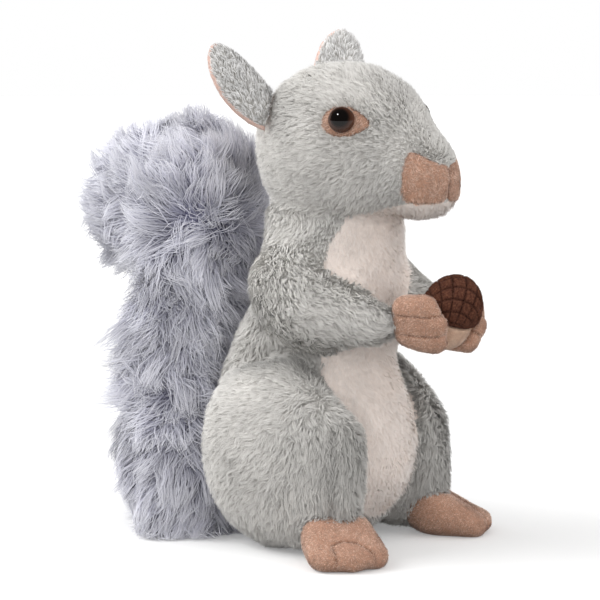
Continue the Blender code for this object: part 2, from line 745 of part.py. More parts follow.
def build_head(head_raw):
    """The head with its chin, muzzle patches, eye patches, eyes and washers."""
    head = copy_of(head_raw, "head_work")
    core, deep_core = cores_of(head_raw, PANEL_THICKNESS)
    finished(panel_on(head_raw, chin_shape(), core), "chin_panel", PALE_PLUSH)
    recess_for(head, chin_shape(), deep_core)
    core, deep_core = cores_of(head_raw, PATCH_THICKNESS)
    far = CHEEK_RADII[0] * 2
    for label, low, high in (("right", -far, -HALF_PHILTRUM), ("left", HALF_PHILTRUM, far)):
        half = muzzle_shape(f"muzzle_shape_{label}", low, high)
        finished(panel_on(head_raw, half, core), f"muzzle_patch_{label}", SUEDE)
    recess_for(head, muzzle_shape("muzzle_shape", -far, far), deep_core)
    build_eye(-1, "right", head, head_raw, core, deep_core)
    build_eye(1, "left", head, head_raw, core, deep_core)
    finished(head, "head", SHORT_PLUSH)


def build_ear(side, label, lean, towards_back, head_raw, head_room):
    root, _ = on_skin(head_raw, SKULL_CENTRE, sided(side, *EAR_ROOT_DIRECTION))
    along, back = sided(side, *lean), sided(side, *towards_back)
    ear = cut(raw_ear(label, root, along, back), head_room)
    half = ear_back_half(label, root, along, back)
    finished(kept_inside(copy_of(ear, "lining"), half), f"ear_lining_{label}", SUEDE)
    finished(cut(ear, swollen(half, SEAM_GAP)), f"ear_{label}", SHORT_PLUSH)


def build_acorn():
    """Both halves, and the room that the hands leave for them."""
    place = acorn_place()
    cap, nut = raw_cap(place), raw_nut(place)
    rooms = [swollen(cap, SEAM_GAP), swollen(nut, SEAM_GAP)]
    finished(cap, "acorn_cap", CAP_FABRIC)
    finished(nut, "acorn_nut", NUT_FABRIC)
    return rooms


def main():
    clear_scene()
    ground = ground_block()
    torso_raw, head_raw = raw_torso(), raw_head()
    torso_room, head_room = swollen(torso_raw, SEAM_GAP), swollen(head_raw, SEAM_GAP)
    build_torso_and_belly(torso_raw, head_room, ground)
    build_head(head_raw)
    build_ear(-1, "right", RIGHT_EAR_LEAN, RIGHT_EAR_BACK, head_raw, head_room)
    build_ear(1, "left", LEFT_EAR_LEAN, LEFT_EAR_BACK, head_raw, head_room)
    acorn_rooms = build_acorn()
    leg_rooms = []
    for side, label in ((-1, "right"), (1, "left")):
        foot_raw = raw_foot(side, label)
        foot_room = swollen(foot_raw, SEAM_GAP)
        finished(cut(foot_raw, ground), f"foot_{label}", SUEDE)
        leg_raw = raw_leg(side, label)
        leg_room = swollen(leg_raw, SEAM_GAP)
        leg_rooms.append(leg_room)
        finished(cut(leg_raw, torso_room, foot_room, ground), f"leg_{label}", SHORT_PLUSH)
        hand_raw = raw_hand(side, label)
        hand_room = swollen(hand_raw, SEAM_GAP)
        finished(cut(hand_raw, *acorn_rooms), f"hand_{label}", SUEDE)
        arm = cut(raw_arm(side, label), torso_room, head_room, leg_room, hand_room)
        finished(arm, f"arm_{label}", SHORT_PLUSH)
    finished(cut(raw_tail(), torso_room, head_room, *leg_rooms, ground), "tail", LONG_PLUSH)


main()
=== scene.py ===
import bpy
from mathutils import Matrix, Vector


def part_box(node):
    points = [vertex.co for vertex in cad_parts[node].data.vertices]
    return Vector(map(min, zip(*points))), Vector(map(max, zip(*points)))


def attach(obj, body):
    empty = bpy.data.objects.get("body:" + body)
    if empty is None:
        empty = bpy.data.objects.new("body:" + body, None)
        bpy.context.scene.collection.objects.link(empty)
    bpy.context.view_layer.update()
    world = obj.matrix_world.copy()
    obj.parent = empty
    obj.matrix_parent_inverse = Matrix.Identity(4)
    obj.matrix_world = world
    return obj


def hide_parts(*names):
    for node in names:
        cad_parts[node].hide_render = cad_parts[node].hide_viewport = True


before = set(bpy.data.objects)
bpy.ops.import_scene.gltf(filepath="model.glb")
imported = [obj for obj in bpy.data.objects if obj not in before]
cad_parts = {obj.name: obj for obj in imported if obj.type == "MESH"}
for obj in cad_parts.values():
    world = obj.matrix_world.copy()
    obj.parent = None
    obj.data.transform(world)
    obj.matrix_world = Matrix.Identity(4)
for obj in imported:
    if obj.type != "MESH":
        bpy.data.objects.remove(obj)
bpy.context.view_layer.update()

import math

import bmesh
import bpy
import numpy as np
from mathutils import Matrix, Vector
from mathutils.bvhtree import BVHTree
from mathutils.kdtree import KDTree

MM = 0.001
SIDES = (("right", -1), ("left", 1))

# Camera: 54 degrees round to the toy's right, 7 degrees up
CAMERA_AZIMUTH = -54.0
CAMERA_ELEVATION = 7.0
CAMERA_DISTANCE = 1.5
CAMERA_TARGET = Vector((0.0, 0.018, 0.1385))
CAMERA_LENS = 153.9

# Lengths and places from here on are in millimetres, unless a comment says otherwise

# Depth of the cloth under the tips of each pile
SHORT_PILE = 4.4
NOSE_PILE = 2.4
CREAM_PILE = 2.2
EAR_PILE = 1.8
LONG_PILE = 13.0

# Thickness of a suede patch, how far it stands above the cloth, and the height of its nap
PATCH_THICKNESS = 1.0
SUEDE_ABOVE_CLOTH = 1.3
SUEDE_NAP = 0.7
# Times that the edge of a patch is evened out, which rounds its corners
CORNER_ROUNDING = 60

# The shoulders run smoothly into the torso over this width
SHOULDER_BLEND = 18.0
SHOULDER_ROUNDS = 120
# How far the skin is drawn in at the top of each thigh, round the neck and down the front of each shin
FURROW_DEPTH = 6.0
FURROW_WIDTH = 4.5
NECK_DEPTH = 1.5
CREASE_DEPTH = 3.4
CREASE_WIDTH = 3.0
CREASE_TOP = np.array((56.3, -44.9, 76.0))
CREASE_FOOT = np.array((57.9, -46.1, 28.0))

# Points that the pile grows away from or towards
NOSE = np.array((0.0, -96.0, 222.0))
KNEE = np.array((54.0, -34.0, 86.0))
WRIST = np.array((29.0, -62.0, 134.0))
TAIL_WHORL = np.array((-8.0, 79.0, 184.0))
# Radius of the whorl at each knee
WHORL_SIZE = 9.0
# The way that the right ear (-1) and the left ear (1) point
EAR_LEAN = {-1: np.array((-0.45, 0.49, 0.75)), 1: np.array((0.40, 0.15, 0.90))}
# A fibre rises from its root and then bends over: higher bends sooner
FIBRE_ARCH = 2.2

# Fibres on the tail: long ones in locks, over a short undercoat
TAIL_LOCKS = 54000
TAIL_UNDERCOAT = 16000
# Length of the long ones, and how much shorter they are in the tangled middle
TAIL_LENGTH = 24.0
TAIL_MIDDLE_CLIP = 5.0

# How far each ear's lining laps over its edge, how deep it lies, and the length of the pile behind it
LINING_LAP = 0.3
LINING_SUNK = 0.5
EAR_HAIR = 5.5

# The right hand (-1) and the left hand (1) are cupped by this many degrees, with their fingers this far apart
HAND_CUP = {-1: 12.0, 1: 33.0}
FINGER_PITCH = 11.3
# Each foot points outwards by this many degrees from its ankle
FOOT_SPLAY = 37.0
ANKLE = (45.0, -38.0)
# The arc stitched across the instep, and the line beside the side toe, measured from the ankle
ARC_AHEAD = 29.0
ARC_BOW = 0.035
ARC_CENTRE = -4.0
TOE_LINE = -10.6

# The acorn's cap: its middle, its tilt, the dome that its cloth is pulled over and the quilting's cells
CAP_MIDDLE = np.array((0.0, -85.0, 137.0))
CAP_TILT = math.radians(28.0)
CAP_AXIS = np.array((0.0, -math.sin(CAP_TILT), math.cos(CAP_TILT)))
CAP_FORWARD = np.array((0.0, math.cos(CAP_TILT), math.sin(CAP_TILT)))
DOME_RADIUS = 19.0
DOME_RISE = 4.0
QUILT_CELL = 7.6

# Each eye's dome, its rim and its shank
EYE_RADIUS = 7.5
EYE_RISE = 6.5
EYE_RIM = ((7.3, -7.4), (2.2, -7.8), (2.2, -20.0), (0.0, -20.0))

# Lamps: azimuth and elevation in degrees, strength, spread in degrees, and whether only a shiny surface
# shows the lamp
LAMPS = {
    "key": (-135.0, 42.0, 1.45, 40.0, False),
    "fill": (20.0, 25.0, 1.05, 60.0, False),
    "front": (-62.0, 18.0, 1.0, 60.0, False),
    "rim": (-165.0, 30.0, 1.0, 40.0, False),
    "glint": (-103.0, 47.0, 1.3, 10.0, True),
}

# What is sewn onto each grey plush piece: the plush runs on underneath it, without its pile
HEAD_TRIM = ("muzzle_patch", "eye_patch", "eye", "eye_washer")
SEWN_ON = {"torso": [], "head": [f"{kind}_{side}" for kind in HEAD_TRIM for side, _ in SIDES]}
for side, _ in SIDES:
    SEWN_ON[f"arm_{side}"] = [f"hand_{side}"]
    SEWN_ON[f"leg_{side}"] = [f"foot_{side}"]
CREAM = ["belly_panel", "chin_panel"]
TRUNK = ["torso", "belly_panel"]


# Numbers and nodes


def linear(colour):
    """An sRGB hex colour as linear red, green, blue and alpha."""
    parts = [int(colour[i : i + 2], 16) / 255 for i in (0, 2, 4)]
    return (*[c / 12.92 if c <= 0.04045 else ((c + 0.055) / 1.055) ** 2.4 for c in parts], 1.0)


def add(tree, kind, sockets=None, **settings):
    """Adds a shader node. A socket takes a value, or another node's output to link."""
    made = tree.nodes.new("ShaderNode" + kind)
    for name, value in settings.items():
        setattr(made, name, value)
    for name, value in (sockets or {}).items():
        if isinstance(value, bpy.types.NodeSocket):
            tree.links.new(value, made.inputs[name])
        else:
            made.inputs[name].default_value = value
    return made


def new_material(name, **values):
    """A material, its node tree and its Principled shader with these values set."""
    made = bpy.data.materials.new(name)
    made.use_nodes = True
    shader = made.node_tree.nodes["Principled BSDF"]
    for socket, value in values.items():
        shader.inputs[socket.replace("_", " ")].default_value = value
    return made, made.node_tree, shader


def unit(vectors):
    return vectors / np.maximum(np.linalg.norm(vectors, axis=-1, keepdims=True), 1e-9)


def waves(points, size, seed):
    """A smooth drift of three numbers from about -1 to 1 at each point, in waves of about size."""
    rng = np.random.default_rng(seed)
    drift = np.zeros((len(points), 3))
    for _ in range(6):
        turn = unit(rng.normal(size=(3, 3))) * (2 * math.pi / (size * MM)) * rng.uniform(0.6, 1.5, (3, 1))
        drift += np.sin(points @ turn.T + rng.uniform(0, 6.283, 3))
    return drift / 2.6


def ramp(values, low, high):
    """0 below low and 1 above high, smooth between them."""
    share = np.clip((values - low) / (high - low), 0.0, 1.0)
    return share * share * (3 - 2 * share)


def near(distance, width):
    """1 on a line and 0 a little more than its width away. The distance is in metres."""
    return np.exp(-((distance / (width * MM)) ** 2))


# Surfaces


def new_object(name, data):
    made = bpy.data.objects.new(name, data)
    bpy.context.scene.collection.objects.link(made)
    return made


def joined_copy(name, nodes):
    """One object with copies of CAD nodes, their loose triangles sewn together."""
    shape = bmesh.new()
    for node in nodes:
        shape.from_mesh(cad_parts[node].data)
    bmesh.ops.remove_doubles(shape, verts=shape.verts, dist=0.00001)
    mesh = bpy.data.meshes.new(name)
    shape.to_mesh(mesh)
    shape.free()
    return new_object(name, mesh)


def applied(made, kind, **settings):
    """Adds a modifier and turns its result into the object's own mesh."""
    modifier = made.modifiers.new("shape", kind)
    for name, value in settings.items():
        setattr(modifier, name, value)
    shaped = made.evaluated_get(bpy.context.evaluated_depsgraph_get())
    mesh = bpy.data.meshes.new_from_object(shaped)
    made.modifiers.clear()
    old, made.data = made.data, mesh
    bpy.data.meshes.remove(old)
    return made


def points_of(mesh):
    found = np.empty(len(mesh.vertices) * 3)
    mesh.vertices.foreach_get("co", found)
    return found.reshape(-1, 3)


def normals_of(mesh):
    found = np.empty(len(mesh.vertices) * 3)
    mesh.vertex_normals.foreach_get("vector", found)
    return found.reshape(-1, 3)


def triangles_of(mesh):
    mesh.calc_loop_triangles()
    found = np.empty(len(mesh.loop_triangles) * 3, np.int32)
    mesh.loop_triangles.foreach_get("vertices", found)
    return found.reshape(-1, 3)


def place(mesh, points):
    mesh.vertices.foreach_set("co", points.astype(np.float32).ravel())
    mesh.update()


def relaxed(name, nodes, voxel, rounds):
    """A smooth, even skin over CAD nodes."""
    made = joined_copy(name, nodes)
    applied(made, "REMESH", mode="VOXEL", voxel_size=voxel * MM, use_smooth_shade=True)
    return applied(made, "SMOOTH", factor=0.5, iterations=rounds)


class Skin:
    """The cloth of some pieces, and the surface above it at the tips of the pile.

    The object's mesh is the surface at the tips. depth gives how far below it the cloth lies at each point.
    """

    def __init__(self, made, depth):
        self.tips = points_of(made.data)
        self.normals = normals_of(made.data)
        self.corners = triangles_of(made.data)
        self.cloth = self.tips - self.normals * depth(self.tips)[:, None] * MM
        self.middles = self.tips[self.corners].mean(axis=1)
        bpy.data.objects.remove(made)


class Nodes:
    """Tells which of these CAD nodes a point is nearest to, and whether it is inside one."""

    def __init__(self, names):
        points, faces, self.owners = [], [], []
        for name in names:
            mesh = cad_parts[name].data
            first = len(points)
            points += [v.co.copy() for v in mesh.vertices]
            faces += [[first + i for i in face.vertices] for face in mesh.polygons]
            self.owners += [name] * len(mesh.polygons)
        self.tree = BVHTree.FromPolygons(points, faces)

    def nearest(self, points):
        return np.array([self.owners[self.tree.find_nearest(point)[2]] for point in points])

    def distance(self, points):
        return np.array([self.tree.find_nearest(point)[3] for point in points])

    def holds(self, points, by=0.0):
        """Whether each point lies deeper than this inside."""
        found = []
        for point in points:
            spot, out, _, _ = self.tree.find_nearest(point)
            found.append((Vector(point) - spot).dot(out) < -by * MM)
        return np.array(found)


def scattered(skin, faces, count, rng):
    """Roots spread evenly over some of a skin's triangles: cloth point, tip point and normal."""
    corners = skin.corners[faces]
    a, b, c = (skin.tips[corners[:, i]] for i in range(3))
    area = np.linalg.norm(np.cross(b - a, c - a), axis=1)
    edges = np.cumsum(area)
    chosen = np.searchsorted(edges, (np.arange(count) + rng.random(count)) / count * edges[-1])
    corners = corners[np.minimum(chosen, len(corners) - 1)]
    u, v = rng.random((2, count, 1))
    flip = u + v > 1
    u, v = np.where(flip, 1 - u, u), np.where(flip, 1 - v, v)

    def mixed(values):
        return values[corners[:, 0]] * (1 - u - v) + values[corners[:, 1]] * u + values[corners[:, 2]] * v

    return mixed(skin.cloth), mixed(skin.tips), unit(mixed(skin.normals))


def even(depth):
    """The same depth everywhere."""
    return lambda points: np.full(len(points), depth)


def area_of(skin, faces):
    a, b, c = (skin.tips[skin.corners[faces][:, i]] / MM for i in range(3))
    return np.linalg.norm(np.cross(b - a, c - a), axis=1).sum() / 2


# Pile


def fibre_shape(segments):
    """One flat fibre that tapers to a point: across and along for each vertex, and its faces."""
    shape = bmesh.new()
    bmesh.ops.create_grid(shape, x_segments=1, y_segments=segments, size=1.0)
    ends = [v for v in shape.verts if v.co.y > 0.99]
    bmesh.ops.pointmerge(shape, verts=ends, merge_co=(0.0, 1.0, 0.0))
    shape.verts.index_update()
    across = np.array([v.co.x for v in shape.verts])
    along = np.array([(v.co.y + 1) / 2 for v in shape.verts])
    faces = [[v.index for v in face.verts] for face in shape.faces]
    shape.free()
    return across, along, faces


class Pile:
    """Tapered fibres, kept as arrays until their piece is put together.

    stray is how far a fibre leaves the common flow, curl and wave are how much it bends, as shares of its
    length, and rise is how high it stands. lock_size is how many fibres gather in a lock, and lock_pull is
    how far a fibre's tip joins its lock's tip. softness is how far it is shaded like the surface that it
    stands on, blunt under 1 gives fuller ends, and tone is how bright it is.
    """

    def __init__(self, roots, tips, normals, flow, lengths, width, segments, rng, *, lock_size, lock_pull,
                 stray, softness, rise=1.0, curl=0.0, wave=0.0, blunt=1.0, tone=None):
        count = len(roots)
        level = np.linalg.norm(tips - roots, axis=1, keepdims=True) * rise
        way = unit(flow + rng.normal(size=(count, 3)) * stray)
        way = unit(way - normals * np.sum(way * normals, axis=1, keepdims=True))
        beside = np.cross(way, normals)
        reach = (lengths * rng.uniform(0.7, 1.2, count))[:, None] * MM
        lift = level * rng.uniform(0.6, 1.15, count)[:, None]
        bend = rng.normal(size=(count, 3)) * curl * reach
        swing = rng.uniform(-1.0, 1.0, (count, 1)) * wave * reach
        phase = rng.uniform(0.0, 6.283, (count, 1))

        across, along, faces = fibre_shape(segments)
        along = np.round(along**blunt, 6)
        stops = np.unique(along)

        def line(t):
            out = normals * lift * (1 - (1 - t) ** FIBRE_ARCH)
            sway = beside * swing * (np.sin(6.0 * t + phase) - np.sin(phase))
            return roots + out + way * reach * t**1.25 + sway + bend * t * t

        lines = np.stack([line(t) for t in stops], axis=1)
        lock = self.locks(roots, lock_size, rng)
        pull = (lock_pull * stops**1.3)[None, :, None]
        lines = lines * (1 - pull) + lines[lock] * pull
        # nothing grows through the floor that the toy sits on
        floor = (0.4 + 1.2 * rng.random(count))[:, None] * MM
        lines[:, :, 2] = np.maximum(lines[:, :, 2], floor)

        steps = unit(np.gradient(lines, axis=1))
        roll = rng.uniform(-0.6, 0.6, count)[:, None, None]
        facing = normals[:, None, :]
        side = unit(np.cross(steps, facing))
        side = unit(side * np.cos(roll) + np.cross(side, steps) * np.sin(roll))
        half = width * MM / 2 * rng.uniform(0.75, 1.25, count)
        at = np.searchsorted(stops, along)
        narrow = 1 - stops**2 * 0.7
        self.points = (
            lines[:, at] + side[:, at] * (across * narrow[at])[None, :, None] * half[:, None, None]
        ).reshape(-1, 3)
        flat = unit(np.cross(side, steps))
        flat *= np.sign(np.sum(flat * facing, axis=2, keepdims=True))
        self.normals = unit(flat[:, at] * (1 - softness) + facing * softness).reshape(-1, 3)
        own, group = rng.random(count), rng.random(count)[lock]
        tone = np.ones(count) if tone is None else tone
        self.shades = np.stack(
            np.broadcast_arrays(along[None, :], own[:, None], group[:, None], tone[:, None]), axis=2
        ).reshape(-1, 4)
        sizes = [len(face) for face in faces]
        self.loops = (np.concatenate(faces)[None, :] + (np.arange(count) * len(across))[:, None]).ravel()
        self.sizes = np.tile(sizes, count)

    @staticmethod
    def locks(roots, fibres, rng):
        """The fibre that leads each fibre's lock, where a lock holds about that many fibres."""
        leaders = max(1, int(len(roots) / fibres))
        tree = KDTree(leaders)
        for i in rng.choice(len(roots), leaders, replace=False):
            tree.insert(roots[i], int(i))
        tree.balance()
        return np.array([tree.find(root)[1] for root in roots])


def piece_of(name, materials, cloth=None, piles=(), groove=0.0):
    """One piece: its cloth, as points, triangles and normals, and the piles that stand on it."""
    points, normals, shades, loops, sizes, slots = [], [], [], [], [], []
    first = 0
    if cloth is not None:
        points.append(cloth[0])
        normals.append(cloth[2])
        shades.append(np.tile((0.0, 0.5, 0.5, 1.0), (len(cloth[0]), 1)))
        shades[0][:, 0] = groove
        loops.append(cloth[1].ravel())
        sizes.append(np.full(len(cloth[1]), 3))
        slots.append(np.zeros(len(cloth[1]), np.int32))
        first = len(cloth[0])
    for slot, pile in piles:
        points.append(pile.points)
        normals.append(pile.normals)
        shades.append(pile.shades)
        loops.append(pile.loops + first)
        sizes.append(pile.sizes)
        slots.append(np.full(len(pile.sizes), slot))
        first += len(pile.points)
    points, normals, shades = (np.concatenate(parts) for parts in (points, normals, shades))
    loops, sizes, slots = (np.concatenate(parts) for parts in (loops, sizes, slots))
    mesh = bpy.data.meshes.new(name)
    mesh.vertices.add(len(points))
    mesh.loops.add(len(loops))
    mesh.polygons.add(len(sizes))
    mesh.vertices.foreach_set("co", points.astype(np.float32).ravel())
    mesh.loops.foreach_set("vertex_index", loops.astype(np.int32))
    starts = np.concatenate(([0], np.cumsum(sizes)[:-1]))
    mesh.polygons.foreach_set("loop_start", starts.astype(np.int32))
    mesh.polygons.foreach_set("material_index", slots.astype(np.int32))
    mesh.update(calc_edges=True)
    for material in materials:
        mesh.materials.append(material)
    mesh.shade_smooth()
    pile = mesh.color_attributes.new("pile", "FLOAT_COLOR", "POINT")
    pile.data.foreach_set("color", shades.astype(np.float32).ravel())
    mesh.normals_split_custom_set_from_vertices(normals.astype(np.float32))
    return new_object(name, mesh)


def part_of(skin, faces):
    """The cloth under some of a skin's triangles."""
    used, corners = np.unique(skin.corners[faces], return_inverse=True)
    return skin.cloth[used], corners.reshape(-1, 3), skin.normals[used]


# Materials


def pile_material(name, root, tip, *, own=0.12, lock=0.12, drift=20.0, sheen=0.3, through=0.0):
    """Knitted polyester plush. A fibre is darker at its root, bright at its tip and lets light through.

    The attribute holds how far along its fibre a point is, the fibre's shade, its lock's shade and its tone.
    """
    made, tree, shader = new_material(
        name, Roughness=0.8, Specular_IOR_Level=0.2, Sheen_Weight=sheen, Sheen_Roughness=0.45)
    pile = add(tree, "Attribute", attribute_name="pile")
    part = add(tree, "SeparateColor", {"Color": pile.outputs["Color"]})
    fibre = add(tree, "MixRGB", {"Fac": part.outputs["Red"], "Color1": linear(root), "Color2": linear(tip)})
    shade = add(tree, "MapRange", {"Value": part.outputs["Green"], "To Min": 1 - own, "To Max": 1 + own})
    clump = add(tree, "MapRange", {"Value": part.outputs["Blue"], "To Min": 1 - lock, "To Max": 1 + lock})
    spot = add(tree, "TexCoord")
    cloud = add(tree, "TexNoise", {
        "Vector": spot.outputs["Object"], "Scale": 1 / (drift * MM), "Detail": 1.0})
    patch = add(tree, "MapRange", {
        "Value": cloud.outputs["Fac"], "From Min": 0.3, "From Max": 0.7, "To Min": 0.93, "To Max": 1.07})
    value = shade.outputs["Result"]
    # the attribute's alpha is the fibre's tone, which carries painted shade on the grey body pieces
    for factor in (clump.outputs["Result"], patch.outputs["Result"], pile.outputs["Alpha"]):
        value = add(tree, "Math", {0: value, 1: factor}, operation="MULTIPLY").outputs[0]
    tone = add(tree, "HueSaturation", {"Color": fibre.outputs["Color"], "Value": value})
    tree.links.new(tone.outputs["Color"], shader.inputs["Base Color"])
    lit_through = add(tree, "BsdfTranslucent", {"Color": tone.outputs["Color"]})
    plush = add(tree, "MixShader", {0: through, 1: shader.outputs["BSDF"], 2: lit_through.outputs[0]})
    tree.links.new(plush.outputs[0], tree.nodes["Material Output"].inputs["Surface"])
    return made


def suede_material(name, dark, light, groove_shade):
    """Polyester suede: a dull, slightly mottled nap, with painted shade in its stitched grooves and along the
    edges of the patches.

    The attribute's first value is 1 in a stitched line.
    """
    made, tree, shader = new_material(
        name, Roughness=0.9, Specular_IOR_Level=0.15, Sheen_Weight=0.25, Sheen_Roughness=0.5)
    spot = add(tree, "TexCoord")
    # nap brushed into patches of about 3 mm, and a grain of about 0.7 mm
    patches = add(tree, "TexNoise", {
        "Vector": spot.outputs["Object"], "Scale": 1 / (3 * MM), "Detail": 3.0})
    grain = add(tree, "TexNoise", {
        "Vector": spot.outputs["Object"], "Scale": 1 / (0.7 * MM), "Detail": 2.0})
    both = add(tree, "Math", {0: patches.outputs["Fac"], 1: grain.outputs["Fac"]}, operation="ADD")
    share = add(tree, "MapRange", {"Value": both.outputs[0], "From Min": 0.7, "From Max": 1.3})
    nap = add(tree, "MixRGB", {
        "Fac": share.outputs["Result"], "Color1": linear(dark), "Color2": linear(light)})
    seam = add(tree, "Attribute", attribute_name="pile")
    part = add(tree, "SeparateColor", {"Color": seam.outputs["Color"]})
    # painted shade: the darker groove colour in stitched grooves and along patch edges
    cloth = add(tree, "MixRGB", {
        "Fac": part.outputs["Red"], "Color1": nap.outputs["Color"], "Color2": linear(groove_shade)})
    tree.links.new(cloth.outputs["Color"], shader.inputs["Base Color"])
    bump = add(tree, "Bump", {"Height": grain.outputs["Fac"], "Strength": 0.5, "Distance": 0.3 * MM})
    tree.links.new(bump.outputs["Normal"], shader.inputs["Normal"])
    return made


def quilt_material():
    """Brown velour, quilted: a deep soft brown, with painted shade, nearly black, in the stitched channels.
    """
    made, tree, shader = new_material("brown_quilted_velour", Roughness=0.95, Specular_IOR_Level=0.05)
    pile = add(tree, "Attribute", attribute_name="pile")
    part = add(tree, "SeparateColor", {"Color": pile.outputs["Color"]})
    spot = add(tree, "TexCoord")
    nap = add(tree, "TexNoise", {"Vector": spot.outputs["Object"], "Scale": 1 / (1.2 * MM), "Detail": 3.0})
    share = add(tree, "MapRange", {"Value": nap.outputs["Fac"], "From Min": 0.3, "From Max": 0.7})
    velour = add(tree, "MixRGB", {
        "Fac": share.outputs["Result"], "Color1": linear("4a2a20"), "Color2": linear("78503f")})
    # painted shade, nearly black, in the quilted channels
    colour = add(tree, "MixRGB", {
        "Fac": part.outputs["Red"], "Color1": velour.outputs["Color"], "Color2": linear("1d0d09")})
    tree.links.new(colour.outputs["Color"], shader.inputs["Base Color"])
    bump = add(tree, "Bump", {"Height": nap.outputs["Fac"], "Strength": 0.6, "Distance": 0.4 * MM})
    tree.links.new(bump.outputs["Normal"], shader.inputs["Normal"])
    return made


def eye_material():
    """Polished acrylic over a painted back: a black pupil in a dark brown iris, lighter at its rim."""
    made, tree, shader = new_material(
        "polished_eye_acrylic", Roughness=0.04, IOR=1.49, Specular_IOR_Level=0.3)
    ring = add(tree, "Attribute", attribute_name="pile")
    part = add(tree, "SeparateColor", {"Color": ring.outputs["Color"]})
    iris = add(tree, "MapRange", {"Value": part.outputs["Red"], "From Min": 0.55, "From Max": 1.0},
               interpolation_type="SMOOTHSTEP")
    colour = add(tree, "MixRGB", {
        "Fac": iris.outputs["Result"], "Color1": linear("090504"), "Color2": linear("4f3022")})
    tree.links.new(colour.outputs["Color"], shader.inputs["Base Color"])
    return made


def washer_material():
    """Moulded white polyethylene, slightly uneven."""
    made, tree, shader = new_material("white_moulded_washer", Roughness=0.45)
    spot = add(tree, "TexCoord")
    flow = add(tree, "TexNoise", {"Vector": spot.outputs["Object"], "Scale": 1 / (4 * MM)})
    colour = add(tree, "MixRGB", {
        "Fac": flow.outputs["Fac"], "Color1": linear("dcdad4"), "Color2": linear("ecebe6")})
    tree.links.new(colour.outputs["Color"], shader.inputs["Base Color"])
    return made


# Body: a pale, even grey, with painted shade at the thigh tops, down the shin creases and on the shins
grey_plush = pile_material(
    "grey_short_plush", "d0cdc8", "eceae6", drift=25.0, own=0.05, lock=0.05, sheen=0.4, through=0.14)
# Backs of the ears: streaked, with dark roots between nearly white tips
ear_plush = pile_material(
    "grey_ear_plush", "bab7b2", "ffffff", drift=12.0, own=0.1, lock=0.16, sheen=0.6, through=0.14)
# Belly and chin: a warm cream with hardly a streak in it
cream_plush = pile_material("cream_short_plush", "f3e8e0", "fbf4ef", drift=30.0, own=0.03, lock=0.03)
# Tail: a dark lilac root colour that paints shade into the depth of the pile, and near-white ends that partly
# paint the glow of light coming through them, on top of the light the fibres let through
lilac_plush = pile_material(
    "lilac_long_plush", "7e7e9a", "fafaff", drift=35.0, own=0.08, lock=0.12, sheen=1.0, through=0.22)
# Nose, hands and feet: dull peach with a pale, speckled nap
# the third colour of each suede is painted shade for its stitched grooves and patch edges
peach_suede = suede_material("peach_suede", "a17a64", "c39780", "76533f")
peach_nap = pile_material("peach_suede_nap", "94705b", "f3d2bf", drift=4.0, own=0.3, lock=0.16, sheen=0.2)
# Nut: a lighter, yellower tan
nut_suede = suede_material("tan_nut_suede", "caa78f", "e3c4ac", "a9866f")
nut_nap = pile_material("tan_suede_nap", "caa78f", "ecd0ba", drift=6.0, own=0.1, lock=0.08, sheen=0.3)
# Inside of the ears: pale pink
lining_suede = suede_material("ear_lining_suede", "dcb6a8", "efd2c7", "b89c90")
quilted_velour = quilt_material()
# The nap of the cap: specks of lighter brown over the dark
cap_fuzz = pile_material("brown_cap_nap", "2b150e", "74493b", drift=8.0, own=0.3, sheen=0.0)
eye_acrylic = eye_material()
washer_plastic = washer_material()


# The way that each pile lies


def mirrored(point, side):
    return np.array((point[0] * side, point[1], point[2])) * MM


def head_flow(points):
    back = unit(points - NOSE * MM)
    drift = waves(points, 55, 3) * 0.22
    return unit(back + np.array((0.0, 0.15, -0.35)) + drift + waves(points, 14, 13) * 0.2)


def torso_flow(points):
    out = unit(points * np.array((1.0, 1.0, 0.0)))
    drift = waves(points, 45, 4) * 0.3
    return unit(out * 0.4 + np.array((0.0, 0.1, -1.0)) + drift + waves(points, 14, 14) * 0.2)


def leg_flow(side):
    def flow(points):
        away = points - mirrored(KNEE, side)
        away /= np.linalg.norm(away, axis=1, keepdims=True) + WHORL_SIZE * MM
        drift = waves(points, 40, 5) * 0.3
        return unit(away + np.array((0.0, 0.1, -0.5)) + drift + waves(points, 12, 15) * 0.2)
    return flow


def arm_flow(side):
    def flow(points):
        ahead = unit(mirrored(WRIST, side) + np.array((0.0, -0.04, 0.0)) - points)
        low = ramp(-points[:, 1], -0.020, 0.040)[:, None]
        lay = ahead * (0.3 + 0.7 * low) + np.array((0.9 * side, 0.0, -1.0)) * (1.0 - 0.6 * low)
        return unit(lay + waves(points, 35, 6) * 0.2 + waves(points, 14, 16) * 0.15)
    return flow


def ear_flow(side):
    def flow(points):
        return unit(EAR_LEAN[side] + waves(points, 25, 7) * 0.25)
    return flow


def tail_middle(points):
    """1 in the tangled zone between the curl at the top and the brushed foot of the tail."""
    return (ramp(-points[:, 2], -0.185, -0.150) * ramp(points[:, 2], 0.040, 0.080))[:, None]


def tail_flow(points):
    """Combed out from the whorl in the curl, and messier and downwards below it."""
    away = unit(points - TAIL_WHORL * MM)
    low = ramp(-points[:, 2], -0.185, -0.120)[:, None]
    down = np.array((0.0, 0.25, -1.0))
    drift = waves(points, 45, 8) * (0.3 + 0.5 * tail_middle(points)) + waves(points, 16, 18) * 0.35 * low
    return unit(away * (1 - 0.5 * low) + down * low * 0.8 + drift)


# The body


def declare(piece, slot, fill, *nodes):
    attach(piece, "root")
    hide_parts(*nodes)
    return piece


body_names = sorted(SEWN_ON) + sorted(sewn for row in SEWN_ON.values() for sewn in row) + CREAM
body_nodes = Nodes(body_names)
tail_node = Nodes(["tail"])
cream_nodes = Nodes(CREAM)


